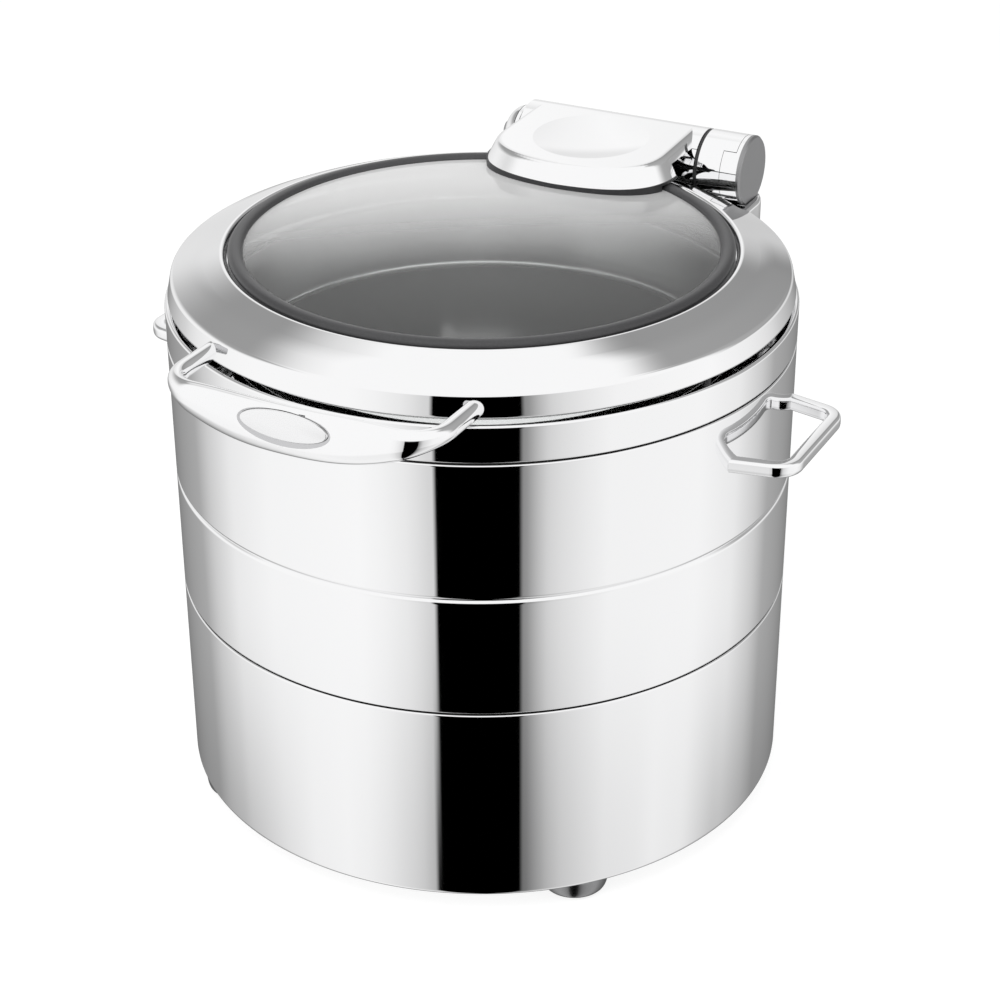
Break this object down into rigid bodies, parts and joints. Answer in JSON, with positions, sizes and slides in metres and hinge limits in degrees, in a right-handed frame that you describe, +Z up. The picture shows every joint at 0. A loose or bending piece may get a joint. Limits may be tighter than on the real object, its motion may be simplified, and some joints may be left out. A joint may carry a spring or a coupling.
{
  "type": "round chafer with a hinged glass lid",
  "caption": "Round polished buffet chafer: fuel burner stand, lift-off casing with water and food pans, and a framed glass lid on a damped hinge.",
  "frame": {"origin": "on the table, under the axis of the round body", "axes": "+Z up; -Y is the front, where the lid handle is; +Y is the back, where the hinge is; the lifting handles are at -X and +X"},
  "size_m": [0.47, 0.4746, 0.3926],
  "materials": {
    "polished_steel": "mirror-polished stainless sheet",
    "cast_chrome": "mirror-polished casting",
    "medallion_steel": "blank polished plate",
    "pan_steel": "smooth bright drawn stainless",
    "satin_steel": "satin stainless",
    "cap_steel": "satin grey, turned face",
    "screw_steel": "plain machined stainless",
    "can_steel": "pressed tinplate",
    "black_rubber": "matt black silicone",
    "black_plastic": "black moulded plastic",
    "wick": "woven mineral fibre",
    "clear_glass": "clear tempered glass"
  },
  "bodies": {
    "base": {"bracket_backing": "satin_steel", "bracket_screws": "screw_steel", "burner_holder": "satin_steel", "burner_rivet": "screw_steel", "burner_wick": "wick", "casing": "polished_steel", "collar": "polished_steel", "food_pan": "pan_steel", "foot_bolts": "screw_steel", "foot_pads": "black_rubber", "fuel_can": "can_steel", "hinge_bracket": "cast_chrome", "hinge_damper_left": "satin_steel", "hinge_damper_right": "satin_steel", "hinge_end_cap_left": "cap_steel", "hinge_end_cap_right": "cap_steel", "hinge_knuckle_left": "cast_chrome", "hinge_knuckle_right": "cast_chrome", "hinge_stop_collar_left": "cast_chrome", "hinge_stop_collar_right": "cast_chrome", "hinge_washer_left": "black_plastic", "hinge_washer_right": "black_plastic", "knuckle_screws": "screw_steel", "lid_bumpers": "black_rubber", "side_handle_left": "cast_chrome", "side_handle_right": "cast_chrome", "side_handle_screws": "screw_steel", "side_handle_washers": "screw_steel", "stand_feet": "polished_steel", "stand_floor": "satin_steel", "stand_shell": "polished_steel", "water_pan": "pan_steel"},
    "lid": {"lid_ring": "polished_steel", "window_gasket": "black_rubber", "window_glass": "clear_glass", "hinge_cover": "cast_chrome", "cover_gasket": "black_rubber", "clamp_gasket": "black_rubber", "clamp_plate": "satin_steel", "bolt_bushes": "black_rubber", "clamp_bolts": "screw_steel", "rear_cover_screws": "screw_steel", "rear_cover_washers": "screw_steel", "lid_handle": "cast_chrome", "handle_medallion": "medallion_steel", "handle_washers": "screw_steel", "handle_screws": "screw_steel", "hinge_bush_left": "cast_chrome", "hinge_bush_right": "cast_chrome", "hinge_shaft_left": "screw_steel", "hinge_shaft_right": "screw_steel"},
    "snuffer": {"burner_lid": "can_steel", "burner_lid_knob": "black_plastic"}
  },
  "joints": [
    {"name": "lid_hinge", "type": "hinge", "parent": "base", "child": "lid", "pos_m": [0, 0.202, 0.3686], "axis": [-1, 0, 0], "range_deg": [0, 90]},
    {"name": "snuffer_swivel", "type": "hinge", "parent": "base", "child": "snuffer", "pos_m": [0, 0.034, 0.096], "axis": [0, 0, 1], "range_deg": [0, 100]}
  ]
}
